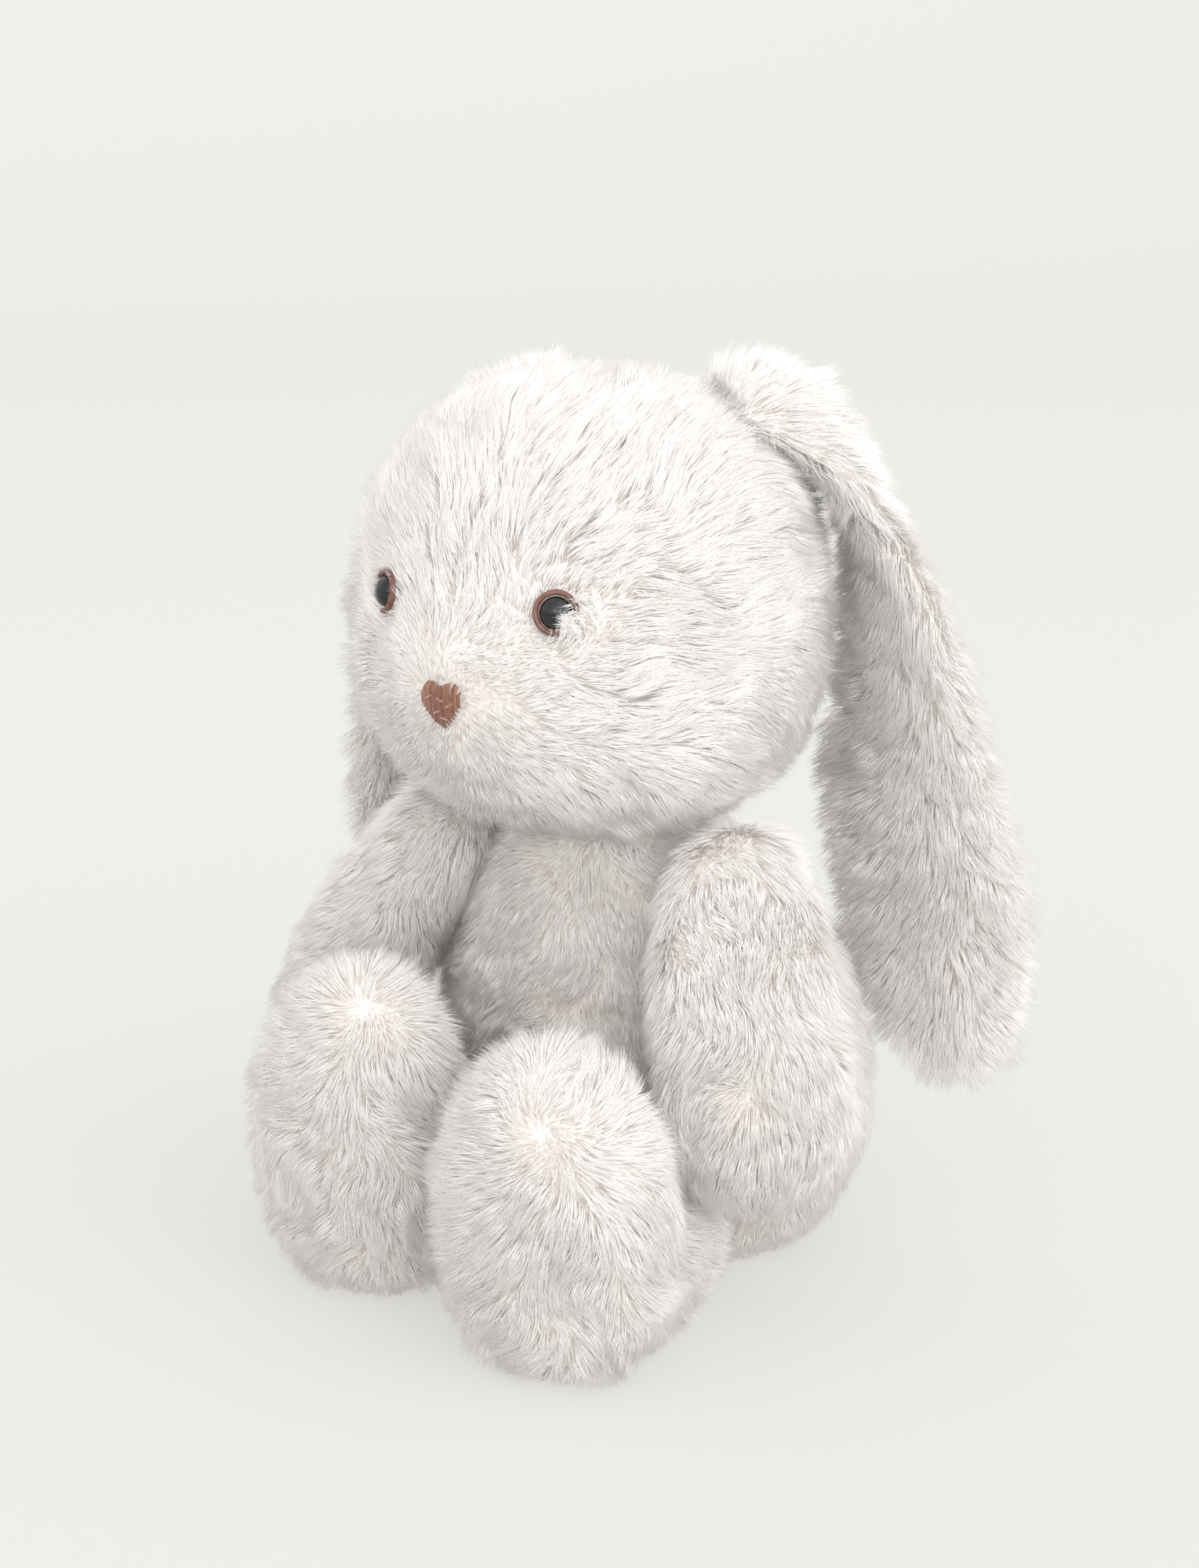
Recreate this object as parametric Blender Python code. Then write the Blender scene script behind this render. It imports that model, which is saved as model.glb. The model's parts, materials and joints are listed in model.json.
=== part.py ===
"""Stuffed bunny rabbit, seated: sewn fabric panels over fibre filling, with safety eyes and floppy ears.

Row frame: metres, +Z up, the bunny faces -Y, its left side is +X. The seat and both feet rest on z = 0.
The solids are the cloth backing of the plush; the pile stands about 7 mm further out.
"""

import math

import bmesh
import bpy
import numpy as np
from mathutils import Matrix, Vector

MM = 0.001
GAP = 0.15            # half of the gap left between two sewn panels, mm
CLOTH = 3.0           # backing plus pressed pile, mm
FILL_GAP = 1.0        # between cloth and filling, mm

# head, mm
HEAD_C = (0.0, -26.0, 203.0)
HEAD_R = (63.5, 59.0)          # half width, half depth
HEAD_UP, HEAD_DOWN = 60.5, 60.0
HEAD_POW_UP, HEAD_POW_DOWN = 2.15, 2.9
MUZZLE_DIR = (0.0, -1.0, -0.25)
MUZZLE_OUT, MUZZLE_SPREAD = 12.0, 0.42
EAR_SEAM_Y = -15.0
NECK_HOLE_R = 21.5
NECK_C = (0.0, -18.0)

# eyes and nose, mm
EYE_DIR = (28.5, -57.5, 6.5)
EYE_R, PUPIL_R = 6.3, 4.5
STEM_R, WASHER_R = 1.6, 5.5
NOSE_DIR = (0.0, -72.0, -19.5)
NOSE_W, NOSE_H, NOSE_T = 12.0, 13.0, 2.0

# torso, mm: height, half width, half depth, centre y
TORSO = ((0, 36, 32, 10), (1.5, 40.5, 35.5, 10), (6, 46.5, 40.5, 9), (18, 57, 46.5, 8), (40, 66, 51, 7),
         (66, 66.5, 51, 6), (88, 62, 47.5, 3), (106, 52, 40.5, -2), (120, 40, 33, -8), (130, 30.5, 27, -14),
         (136.5, 23.5, 22.5, -18))
BASE_SEAM_Z, SIDE_SEAM_Y, BAG_Y = 9.0, 6.0, 9.5

# arms, mm: centre x, y, z, half width, half thickness; the right arm hangs further out to the side
ARM_LEFT = ((47.5, -22, 137.5, 2.5, 2.5), (47.8, -22.5, 136.2, 8, 7.5), (48.6, -23.5, 132.5, 13.5, 12),
            (50.5, -26, 125.5, 18.5, 14.5), (55.5, -32.5, 113, 21.5, 15.3), (62, -40, 98.5, 24, 16),
            (68, -45.5, 83, 25.5, 16.3), (71, -47.8, 69, 25.5, 16), (72.3, -48.6, 58, 23.5, 14.5),
            (72.8, -49, 50, 17, 11.5), (73, -49, 45.6, 8.5, 6.5), (73, -49, 44.4, 2.5, 2))
ARM_RIGHT = ((-48, -22, 136.5, 2.5, 2.5), (-48.4, -22.3, 135.2, 8, 7.5), (-50, -23, 131.5, 13.5, 12),
             (-53.5, -26, 124, 17.5, 14.5), (-61, -31, 112, 20, 15.3), (-69.5, -35, 98, 22, 16),
             (-77.5, -38, 83, 24, 16.3), (-83.5, -39.5, 69, 24.5, 16), (-86.8, -40.5, 57, 22.5, 14.5),
             (-88, -41, 48.5, 16.5, 11.5), (-88.5, -41, 44, 8, 6.5), (-88.6, -41, 42.8, 2.5, 2))
ARM_OUTWARD = {"left": (0.80, -0.60, 0.0), "right": (-0.86, -0.51, 0.0)}
SHOULDER = {"left": (47.5, -22.0, 126.0), "right": (-48.5, -22.0, 125.0)}

# leg, mm
HIP = {"left": (40.0, -56.5, 24.0), "right": (-41.0, -54.5, 24.0)}
HIP_R, CALF_R = 19.5, 23.8
FOOT_R = {"left": (33.5, 22.0, 46.5), "right": (32.5, 22.0, 49.0)}
FOOT = {"left": (37.5, -97.5, 45.2), "right": (-42.0, -81.5, 48.4)}
SOLE_DEPTH = 9.5

# ears, mm: centre x, y, z, half width, width direction x, y, z
EAR_LEFT = ((32.5, -9.5, 255.2, 14, 0.75, -0.60, -0.25), (38, -4, 260.2, 15, 0.67, -0.62, -0.38),
            (47.5, 4.5, 257, 16, 0.54, -0.57, -0.62), (57, 12.5, 246, 17, 0.56, -0.68, -0.48),
            (64, 18.5, 230, 18.5, 0.68, -0.72, -0.20), (69, 22.5, 211, 20, 0.82, -0.57, -0.04),
            (72.3, 26.3, 190, 22, 0.91, -0.42, 0.0), (73.3, 29, 167, 25, 0.95, -0.26, 0.0),
            (75, 31, 144, 27.5, 0.97, -0.10, 0.0), (79, 33.5, 120, 27.5, 0.985, 0.05, 0.0),
            (83.5, 35.8, 96, 25.5, 0.985, 0.12, 0.0), (87, 37.5, 76, 19.5, 0.985, 0.16, 0.0),
            (88.3, 38.5, 65.5, 12, 0.985, 0.16, 0.0), (89, 39, 60.5, 3.5, 0.985, 0.16, 0.0))
EAR_RIGHT = ((-32.8, -9.5, 256.6, 14, -0.70, -0.66, -0.28), (-40, -4, 258, 14.5, -0.60, -0.74, -0.25),
             (-49.5, 0, 251, 15, -0.45, -0.85, -0.15), (-59, 1.5, 236.5, 15.5, -0.30, -0.93, 0.0),
             (-68, 1, 218, 16.5, -0.15, -0.98, 0.0), (-76, -1.5, 196, 18.5, -0.05, -1.0, 0.0),
             (-82.5, -3, 173, 21.5, 0.08, -1.0, 0.0), (-88, 0, 150, 23.5, 0.15, -0.98, 0.0),
             (-92.5, 6, 126, 24, 0.20, -0.98, 0.0), (-94, 17, 101, 23, 0.15, -0.99, 0.0),
             (-94, 26, 79, 18.5, 0.05, -1.0, 0.0), (-93.5, 29, 68, 12, 0.0, -1.0, 0.0),
             (-93.5, 30, 62.5, 3.5, 0.0, -1.0, 0.0))
EAR_T = 2.7

# tail, mm
TAIL_C, TAIL_R = (0.0, 72.6, 34.0), 14.5


for old in list(bpy.data.objects):
    bpy.data.objects.remove(old)


def material(name, rgb, rough, metal=0.0):
    made = bpy.data.materials.new(name)
    made.use_nodes = True
    shader = made.node_tree.nodes["Principled BSDF"]
    shader.inputs["Base Color"].default_value = (*rgb, 1)
    shader.inputs["Roughness"].default_value = rough
    shader.inputs["Metallic"].default_value = metal
    made.diffuse_color = (*rgb, 1)
    return made


PLUSH, LINING = (0.83, 0.79, 0.75), (0.80, 0.75, 0.71)
FIBRE, COTTON = (0.92, 0.92, 0.90), (0.70, 0.64, 0.55)
BROWN, BLACK, WASHER, THREAD = (0.22, 0.10, 0.06), (0.012, 0.011, 0.013), (0.75, 0.75, 0.74), (0.20, 0.09, 0.06)


def mesh_object(name, points, faces, rgb=None, rough=0.9, smooth=True):
    """A closed mesh in row coordinates; without a colour it is a helper that isn't rendered."""
    data = bpy.data.meshes.new(name)
    data.from_pydata([tuple(float(c) * MM for c in p) for p in points], [], faces)
    work = bmesh.new()
    work.from_mesh(data)
    bmesh.ops.recalc_face_normals(work, faces=work.faces)
    work.to_mesh(data)
    work.free()
    for face in data.polygons:
        face.use_smooth = smooth
    made = bpy.data.objects.new(name, data)
    bpy.context.scene.collection.objects.link(made)
    if rgb is None:
        made.hide_render = True
        made.display_type = "WIRE"
    else:
        data.materials.append(material(name, rgb, rough))
    return made


def boolean(target, cutter, how):
    step = target.modifiers.new(f"{how.lower()} {cutter.name}", "BOOLEAN")
    step.operation, step.object, step.solver = how, cutter, "EXACT"
    return target


def ring_faces(rings, count):
    """Faces of a tube of equal rings, closed by one pole point at each end (points: start, rings, end)."""
    faces, last = [], 1 + rings * count
    for j in range(count):
        faces.append((0, 1 + (j + 1) % count, 1 + j))
    for i in range(rings - 1):
        a, b = 1 + i * count, 1 + (i + 1) * count
        for j in range(count):
            k = (j + 1) % count
            faces.append((a + j, a + k, b + k, b + j))
    a = 1 + (rings - 1) * count
    for j in range(count):
        faces.append((a + j, a + (j + 1) % count, last))
    return faces


def inset(points, faces, depth):
    """The same closed mesh moved inwards along its vertex normals."""
    if not depth:
        return np.array(points)
    points = np.array(points, float)
    normal = np.zeros_like(points)
    for face in faces:
        corner = points[list(face)]
        way = np.cross(corner[1] - corner[0], corner[2] - corner[0])
        if len(face) == 4:
            way = way + np.cross(corner[2] - corner[0], corner[3] - corner[0])
        way = way / (np.linalg.norm(way) + 1e-12)
        for index in face:
            normal[index] += way
    normal /= np.linalg.norm(normal, axis=1)[:, None] + 1e-12
    middle = points.mean(axis=0)
    if ((points - middle) * normal).sum() < 0:
        normal = -normal
    return points - normal * depth


def smooth_keys(keys, count):
    """Catmull-Rom through the rows of keys."""
    keys = np.array(keys, float)
    rows = []
    for t in np.linspace(0, len(keys) - 1, count):
        i = min(int(t), len(keys) - 2)
        u = t - i
        a, b, c, d = keys[max(i - 1, 0)], keys[i], keys[i + 1], keys[min(i + 2, len(keys) - 1)]
        rows.append(0.5 * (2 * b + (c - a) * u + (2 * a - 5 * b + 4 * c - d) * u**2 + (3 * b - a - 3 * c + d) * u**3))
    return np.array(rows)


# ---- head surface -------------------------------------------------------------------------------------


def head_reach(way):
    """Distance from the head's centre to its surface along a direction, mm."""
    x, y, z = way / np.linalg.norm(way)
    power = HEAD_POW_UP if z > 0 else HEAD_POW_DOWN
    flat = (abs(x / HEAD_R[0]) ** 2.2 + abs(y / HEAD_R[1]) ** 2.2) ** (1 / 2.2)
    tall = abs(z / (HEAD_UP if z > 0 else HEAD_DOWN))
    reach = (flat**power + tall**power) ** (-1 / power)
    muzzle = np.array(MUZZLE_DIR) / np.linalg.norm(MUZZLE_DIR)
    angle = math.acos(max(-1.0, min(1.0, float(np.dot((x, y, z), muzzle)))))
    return reach + MUZZLE_OUT * math.exp(-((angle / MUZZLE_SPREAD) ** 2))


def head_point(way):
    way = np.array(way, float)
    return np.array(HEAD_C) + way / np.linalg.norm(way) * head_reach(way)


def head_frame(way):
    """Surface point, outward normal and two tangents, the second one pointing up."""
    way = np.array(way, float)
    way /= np.linalg.norm(way)
    side = np.cross(way, (0, 0, 1.0))
    side /= np.linalg.norm(side)
    over = np.cross(side, way)
    du = head_point(way + 0.05 * side) - head_point(way - 0.05 * side)
    dv = head_point(way + 0.05 * over) - head_point(way - 0.05 * over)
    normal = np.cross(du, dv)
    normal /= np.linalg.norm(normal)
    if normal @ way < 0:
        normal = -normal
    up = np.array((0, 0, 1.0)) - normal * normal[2]
    up /= np.linalg.norm(up)
    return head_point(way), normal, np.cross(up, normal), up


def head_mesh(depth, around=26, down=14):
    points = [head_point((0, 0, 1))]
    for i in range(1, down + 1):
        polar = math.pi * i / (down + 1)
        for j in range(around):
            turn = 2 * math.pi * j / around
            points.append(head_point((math.sin(polar) * math.sin(turn), -math.sin(polar) * math.cos(turn),
                                      math.cos(polar))))
    points.append(head_point((0, 0, -1)))
    faces = ring_faces(down, around)
    return inset(points, faces, depth), faces


# ---- cutters ------------------------------------------------------------------------------------------


def box_cutter(name, low, high, turn=None, at=(0, 0, 0)):
    corners = [(x, y, z) for x in (low[0], high[0]) for y in (low[1], high[1]) for z in (low[2], high[2])]
    if turn is not None:
        corners = [np.array(turn) @ np.array(c) + np.array(at) for c in corners]
    faces = [(0, 1, 3, 2), (4, 6, 7, 5), (0, 4, 5, 1), (2, 3, 7, 6), (0, 2, 6, 4), (1, 5, 7, 3)]
    return mesh_object(name, corners, faces, smooth=False)


def disc(name, centre, normal, stack, rgb=None, rough=0.5, around=20):
    """A turned part: stack holds (height along the normal, radius) pairs."""
    normal = np.array(normal, float) / np.linalg.norm(normal)
    side = np.cross(normal, (0.0, 0.0, 1.0) if abs(normal[2]) < 0.9 else (1.0, 0.0, 0.0))
    side /= np.linalg.norm(side)
    over = np.cross(normal, side)
    centre = np.array(centre, float)
    points = [centre + normal * stack[0][0]]
    for height, radius in stack:
        for j in range(around):
            turn = 2 * math.pi * j / around
            points.append(centre + normal * height + radius * (math.cos(turn) * side + math.sin(turn) * over))
    points.append(centre + normal * stack[-1][0])
    return mesh_object(name, points, ring_faces(len(stack), around), rgb, rough)


def panels(names, outer, inner, regions, rgb, cuts=()):
    """Sewn panels: the skin between two closed meshes, kept inside each panel's own region."""
    hollow = mesh_object(f"hollow_{names[0]}", *inner)
    for name, region in zip(names, regions):
        made = mesh_object(name, *outer, rgb)
        boolean(made, hollow, "DIFFERENCE")
        boolean(made, region, "INTERSECT")
        for cutter in cuts:
            boolean(made, cutter, "DIFFERENCE")


# ---- head ---------------------------------------------------------------------------------------------

eye_frames = {side: head_frame((sign * EYE_DIR[0], EYE_DIR[1], EYE_DIR[2])) for side, sign in (("left", 1), ("right", -1))}
neck_hole = disc("cut_neck", (*NECK_C, 130), (0, 0, 1), ((0, NECK_HOLE_R), (40, NECK_HOLE_R)))
stem_holes = {side: disc(f"cut_stem_{side}", frame[0], frame[1], ((-8, STEM_R + 0.4), (4, STEM_R + 0.4)), around=16)
              for side, frame in eye_frames.items()}

far = 150
for half, low_y, high_y in (("face", -far, EAR_SEAM_Y - GAP), ("back", EAR_SEAM_Y + GAP, far)):
    for side, low_x, high_x in (("left", GAP, far), ("right", -far, -GAP)):
        region = box_cutter(f"region_{half}_{side}", (low_x, low_y, 100), (high_x, high_y, 300))
        cuts = (neck_hole, stem_holes[side]) if half == "face" else (neck_hole,)
        panels((f"head_{half}_{side}",), head_mesh(0), head_mesh(CLOTH), (region,), PLUSH, cuts)

filling = mesh_object("head_stuffing", *head_mesh(CLOTH + FILL_GAP + 0.3, 18, 10), FIBRE, 1.0)
boolean(filling, neck_hole, "DIFFERENCE")
for side, (at, normal, _, _) in eye_frames.items():
    pocket = disc(f"cut_pocket_{side}", at, normal, ((-10.5, WASHER_R + 0.8), (3, WASHER_R + 0.8)), around=20)
    boolean(filling, pocket, "DIFFERENCE")
    disc(f"eye_{side}_iris", at, normal, ((-9, 0.9), (-8.4, STEM_R), (0.4, STEM_R), (0.45, EYE_R - 0.6),
         (1.0, EYE_R), (1.9, EYE_R - 0.1), (2.9, EYE_R - 0.8), (3.4, PUPIL_R + 0.35), (1.5, PUPIL_R + 0.3)),
         BROWN, 0.35)
    dome = [(1.8, PUPIL_R - 0.3), (2.0, PUPIL_R), (3.3, PUPIL_R)]
    dome += [(3.3 + 1.7 * math.sin(t), PUPIL_R * math.cos(t)) for t in (0.35, 0.75, 1.15)]
    disc(f"eye_{side}_pupil", at, normal, dome, BLACK, 0.06)
    ring = disc(f"eye_{side}_washer", at, normal, ((-5.4, WASHER_R - 0.3), (-5.1, WASHER_R), (-4.3, WASHER_R),
                (-4.0, WASHER_R - 0.3)), WASHER, 0.6)
    bore = disc(f"cut_bore_{side}", at, normal, ((-7, STEM_R + 0.15), (-2, STEM_R + 0.15)), around=16)
    boolean(ring, bore, "DIFFERENCE")

at, normal, across, up = head_frame(NOSE_DIR)
outline = [(0, 0.30), (0.22, 0.46), (0.42, 0.44), (0.50, 0.22), (0.38, -0.10), (0.18, -0.38), (0, -0.52),
           (-0.18, -0.38), (-0.38, -0.10), (-0.50, 0.22), (-0.42, 0.44), (-0.22, 0.46)]
points, faces = [], []
for height, grow in ((0.35, 0.97), (0.35 + 0.55 * NOSE_T, 1.0), (0.35 + NOSE_T, 0.80)):
    for x, z in outline:
        points.append(at + across * x * NOSE_W * grow + up * z * NOSE_H * grow + normal * height)
count = len(outline)
for layer in range(2):
    for j in range(count):
        k = (j + 1) % count
        faces.append((layer * count + j, layer * count + k, (layer + 1) * count + k, (layer + 1) * count + j))
points += [at + normal * 0.35, at + normal * (0.35 + NOSE_T)]
for j in range(count):
    faces.append((j, (j + 1) % count, 3 * count))
    faces.append((2 * count + j, 2 * count + (j + 1) % count, 3 * count + 1))
mesh_object("nose", points, faces, THREAD, 0.7)


# ---- ears ---------------------------------------------------------------------------------------------


def ear(side, keys, lengths=18, across=6):
    rows = smooth_keys(keys, lengths)
    grids = {}
    for i, row in enumerate(rows):
        along = rows[min(i + 1, lengths - 1), :3] - rows[max(i - 1, 0), :3]
        along /= np.linalg.norm(along)
        wide = row[4:7] - along * (row[4:7] @ along)
        wide /= np.linalg.norm(wide)
        face = np.cross(along, wide)
        away = row[:3] - np.array(HEAD_C)
        if face @ np.array((away[0], away[1], 0.6 * abs(away[0]))) < 0:
            face = -face
        for sign, part in ((1, "outer"), (-1, "lining")):
            for v in np.linspace(-1, 1, across + 1):
                edge = row[:3] + wide * row[3] * v
                thick = 0.5 + (EAR_T - 0.5) * math.sqrt(max(0.0, 1 - v * v)) * min(1.0, row[3] / 8)
                grids.setdefault(part, []).append((edge + sign * face * (GAP + thick), edge + sign * face * GAP))
    for part, rgb in (("outer", PLUSH), ("lining", LINING)):
        top = [a for a, _ in grids[part]]
        low = [b for _, b in grids[part]]
        wide_n, total = across + 1, lengths * (across + 1)
        faces = []
        for i in range(lengths - 1):
            for j in range(across):
                a = i * wide_n + j
                faces.append((a, a + 1, a + wide_n + 1, a + wide_n))
                faces.append((total + a, total + a + wide_n, total + a + wide_n + 1, total + a + 1))
        rim = list(range(wide_n)) + [i * wide_n + across for i in range(1, lengths)]
        rim += [(lengths - 1) * wide_n + j for j in range(across - 1, -1, -1)]
        rim += [i * wide_n for i in range(lengths - 2, 0, -1)]
        for a, b in zip(rim, rim[1:] + rim[:1]):
            faces.append((b, a, total + a, total + b))
        mesh_object(f"ear_{side}_{part}", top + low, faces, rgb)


ear("left", EAR_LEFT)
ear("right", EAR_RIGHT)


# ---- torso --------------------------------------------------------------------------------------------


def torso_mesh(depth, around=26):
    rows = np.array(TORSO, float)
    if depth:
        heights = np.array([depth, 6, 18, 40, 66, 88, 106, 120, 130, 136.5 - depth], float)
    else:
        heights = rows[:, 0]
    points = []
    for height in heights:
        wide, deep, centre = (np.interp(height, rows[:, 0], rows[:, k]) for k in (1, 2, 3))
        if depth:
            slope = (np.interp(height + 2, rows[:, 0], rows[:, 1]) - np.interp(height - 2, rows[:, 0], rows[:, 1])) / 4
            shrink = depth * math.sqrt(1 + min(abs(slope), 1.6) ** 2)
            wide, deep = wide - shrink, deep - shrink
        for j in range(around):
            turn = 2 * math.pi * j / around
            points.append((wide * math.sin(turn), centre - deep * math.cos(turn), height))
    low = (0, points[0][1] + (rows[0, 2] if not depth else deep), heights[0])
    points = [(0, rows[0, 3], heights[0])] + points + [(0, NECK_C[1], heights[-1])]
    return points, ring_faces(len(heights), around)


low_x = ((-far, far), (GAP, far), (-far, -GAP), (-far, far))
torso_regions = (
    box_cutter("region_torso_front", (-far, -far, BASE_SEAM_Z + GAP), (far, SIDE_SEAM_Y - GAP, 170)),
    box_cutter("region_torso_back_left", (GAP, SIDE_SEAM_Y + GAP, BASE_SEAM_Z + GAP), (far, far, 170)),
    box_cutter("region_torso_back_right", (-far, SIDE_SEAM_Y + GAP, BASE_SEAM_Z + GAP), (-GAP, far, 170)),
    box_cutter("region_torso_base", (-far, -far, -20), (far, far, BASE_SEAM_Z - GAP)),
)
plug_hole = disc("cut_plug", (*NECK_C, 118), (0, 0, 1), ((0, 19.0), (40, 19.0)))
panels(("torso_front", "torso_back_left", "torso_back_right"), torso_mesh(0), torso_mesh(CLOTH),
       torso_regions[:3], PLUSH, (plug_hole,))
panels(("torso_base",), torso_mesh(0), torso_mesh(CLOTH), torso_regions[3:], PLUSH)

bag_stack = [(CLOTH + FILL_GAP, 26), (6.5, 31), (12, 34.5), (20, 33.5), (26, 26), (30, 15)]
disc("pellet_bag", (0, BAG_Y, 0), (0, 0, 1), bag_stack, COTTON, 0.9, around=24)
bag_room = disc("cut_bag", (0, BAG_Y, 0), (0, 0, 1),
                [(-5, 27)] + [(h, r + 0.7) for h, r in bag_stack[:-1]] + [(bag_stack[-1][0] + 0.5, bag_stack[-1][1] + 1)])
filling = mesh_object("torso_stuffing", *torso_mesh(CLOTH + FILL_GAP, 22), FIBRE, 1.0)
boolean(filling, bag_room, "DIFFERENCE")
boolean(filling, plug_hole, "DIFFERENCE")

# neck: a firm plug of filling and the ring of closing stitches
plug = [(119.5, 13), (121, 17.5), (125, 18.3), (141, 18.3), (147, 17.5), (152, 14), (155, 8)]
disc("neck_stuffing", (*NECK_C, 0), (0, 0, 1), plug, FIBRE, 1.0, around=22)
points, faces = [], []
turns, around = 26, 6
for i in range(turns):
    a = 2 * math.pi * i / turns
    for j in range(around):
        b = 2 * math.pi * j / around
        reach = 20.6 + 0.8 * math.cos(b)
        points.append((NECK_C[0] + reach * math.sin(a), NECK_C[1] + reach * math.cos(a), 139.6 + 0.8 * math.sin(b)))
for i in range(turns):
    for j in range(around):
        a, b = i * around, (i + 1) % turns * around
        k = (j + 1) % around
        faces.append((a + j, a + k, b + k, b + j))
mesh_object("neck_thread", points, faces, LINING, 0.8)


# ---- limbs --------------------------------------------------------------------------------------------


def arm_mesh(side, depth, around=16, lengths=14):
    rows = smooth_keys(ARM_LEFT if side == "left" else ARM_RIGHT, lengths)
    outward = np.array(ARM_OUTWARD[side]) / np.linalg.norm(ARM_OUTWARD[side])
    points = [rows[0, :3]]
    for i, row in enumerate(rows):
        along = rows[min(i + 1, lengths - 1), :3] - rows[max(i - 1, 0), :3]
        along /= np.linalg.norm(along)
        thin = outward - along * (outward @ along)
        thin /= np.linalg.norm(thin)
        wide = np.cross(along, thin)
        for j in range(around):
            turn = 2 * math.pi * j / around
            points.append(row[:3] + wide * row[3] * math.cos(turn) + thin * row[4] * math.sin(turn))
    points.append(rows[-1, :3])
    faces = ring_faces(lengths, around)
    return inset(points, faces, depth), faces


def arm(side):
    keys = np.array(ARM_LEFT if side == "left" else ARM_RIGHT, float)
    top, end = keys[3, :3], keys[8, :3]
    along = (end - top) / np.linalg.norm(end - top)
    outward = np.array(ARM_OUTWARD[side]) / np.linalg.norm(ARM_OUTWARD[side])
    outward = outward - along * (outward @ along)
    outward /= np.linalg.norm(outward)
    turn = np.stack([np.cross(along, outward), outward, along], axis=1)
    middle = (top + end) / 2
    regions = (box_cutter(f"region_arm_{side}_outer", (-90, GAP, -90), (90, 90, 90), turn, middle),
               box_cutter(f"region_arm_{side}_inner", (-90, -90, -90), (90, -GAP, 90), turn, middle))
    panels((f"arm_{side}_outer", f"arm_{side}_inner"), arm_mesh(side, 0), arm_mesh(side, CLOTH), regions, PLUSH)
    mesh_object(f"arm_{side}_stuffing", *arm_mesh(side, CLOTH + FILL_GAP, 12, 12), FIBRE, 1.0)


def calf_mesh(hip, foot, depth, around=16):
    """The leg from its round hip end to inside the foot."""
    hip, foot = np.array(hip, float), np.array(foot, float)
    end = np.array((foot[0], foot[1] - 2, hip[2] + 0.6))
    along = (end - hip) / np.linalg.norm(end - hip)
    length = float(np.linalg.norm(end - hip))
    side = np.cross(along, (0, 0, 1.0))
    side /= np.linalg.norm(side)
    over = np.cross(side, along)
    stack = [(-HIP_R * math.cos(t), HIP_R * math.sin(t)) for t in (0.12, 0.42, 0.75, 1.1, 1.5708)]
    stack += [(length * 0.30, 0.45 * HIP_R + 0.55 * CALF_R), (length * 0.62, CALF_R), (length * 0.92, CALF_R - 1.5),
              (length + 4, CALF_R * 0.72), (length + 7, CALF_R * 0.3)]
    points = [hip + along * stack[0][0]]
    for reach, radius in stack:
        for j in range(around):
            turn = 2 * math.pi * j / around
            points.append(hip + along * reach + radius * (side * math.cos(turn) + over * math.sin(turn)))
    points.append(hip + along * stack[-1][0])
    faces = ring_faces(len(stack), around)
    return inset(points, faces, depth), faces


def foot_mesh(side, depth, around=18, down=11):
    foot, radius, points = FOOT[side], FOOT_R[side], []
    for i in range(down + 2):
        polar = math.pi * i / (down + 1)
        for j in range(around if 0 < i <= down else 1):
            turn = 2 * math.pi * j / around + 0.01
            points.append((foot[0] + (radius[0] - depth) * math.sin(polar) * math.sin(turn),
                           foot[1] - (radius[1] - depth) * math.sin(polar) * math.cos(turn),
                           foot[2] + (radius[2] - depth) * math.cos(polar)))
    return points, ring_faces(down, around)


def leg(side, sign):
    hip, foot = HIP[side], FOOT[side]
    along = np.array((foot[0] - hip[0], foot[1] - hip[1], 0.0))
    along /= np.linalg.norm(along)
    out = np.array((-along[1], along[0], 0.0))
    out *= sign * (1 if out[0] > 0 else -1)
    turn = np.stack([out, along, (0, 0, 1.0)], axis=1)
    sole_at = FOOT_R[side][1] - SOLE_DEPTH
    reach = float((np.array(foot[:2]) - np.array(hip[:2])) @ along[:2])
    split = float((np.array(foot[:2]) - np.array(hip[:2])) @ out[:2])
    at = (hip[0], hip[1], 0.0)
    front = reach + sole_at
    regions = {
        "outer": box_cutter(f"region_leg_{side}_outer", (GAP, -60, 0), (90, front - GAP, 150), turn, at),
        "inner": box_cutter(f"region_leg_{side}_inner", (-90, -60, 0), (-GAP, front - GAP, 150), turn, at),
        "sole": box_cutter(f"region_leg_{side}_sole", (-90, front + GAP, 0), (90, front + 90, 150), turn, at),
    }
    foot_outer = mesh_object(f"foot_{side}", *foot_mesh(side, 0))
    calf_hollow = mesh_object(f"calf_hollow_{side}", *calf_mesh(hip, foot, CLOTH))
    foot_hollow = mesh_object(f"foot_hollow_{side}", *foot_mesh(side, CLOTH))
    for part, region in regions.items():
        name = f"foot_{side}_sole" if part == "sole" else f"leg_{side}_{part}"
        made = mesh_object(name, *calf_mesh(hip, foot, 0), PLUSH)
        boolean(made, foot_outer, "UNION")
        boolean(made, calf_hollow, "DIFFERENCE")
        boolean(made, foot_hollow, "DIFFERENCE")
        boolean(made, region, "INTERSECT")
    filling = mesh_object(f"leg_{side}_stuffing", *calf_mesh(hip, foot, CLOTH + FILL_GAP, 12), FIBRE, 1.0)
    toe = mesh_object(f"toe_fill_{side}", *foot_mesh(side, CLOTH + FILL_GAP, 14, 9))
    boolean(filling, toe, "UNION")


for side, sign in (("left", 1), ("right", -1)):
    arm(side)
    leg(side, sign)


# ---- tail: one gathered disc of plush around a ball of filling, open towards the body -------------------


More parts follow.
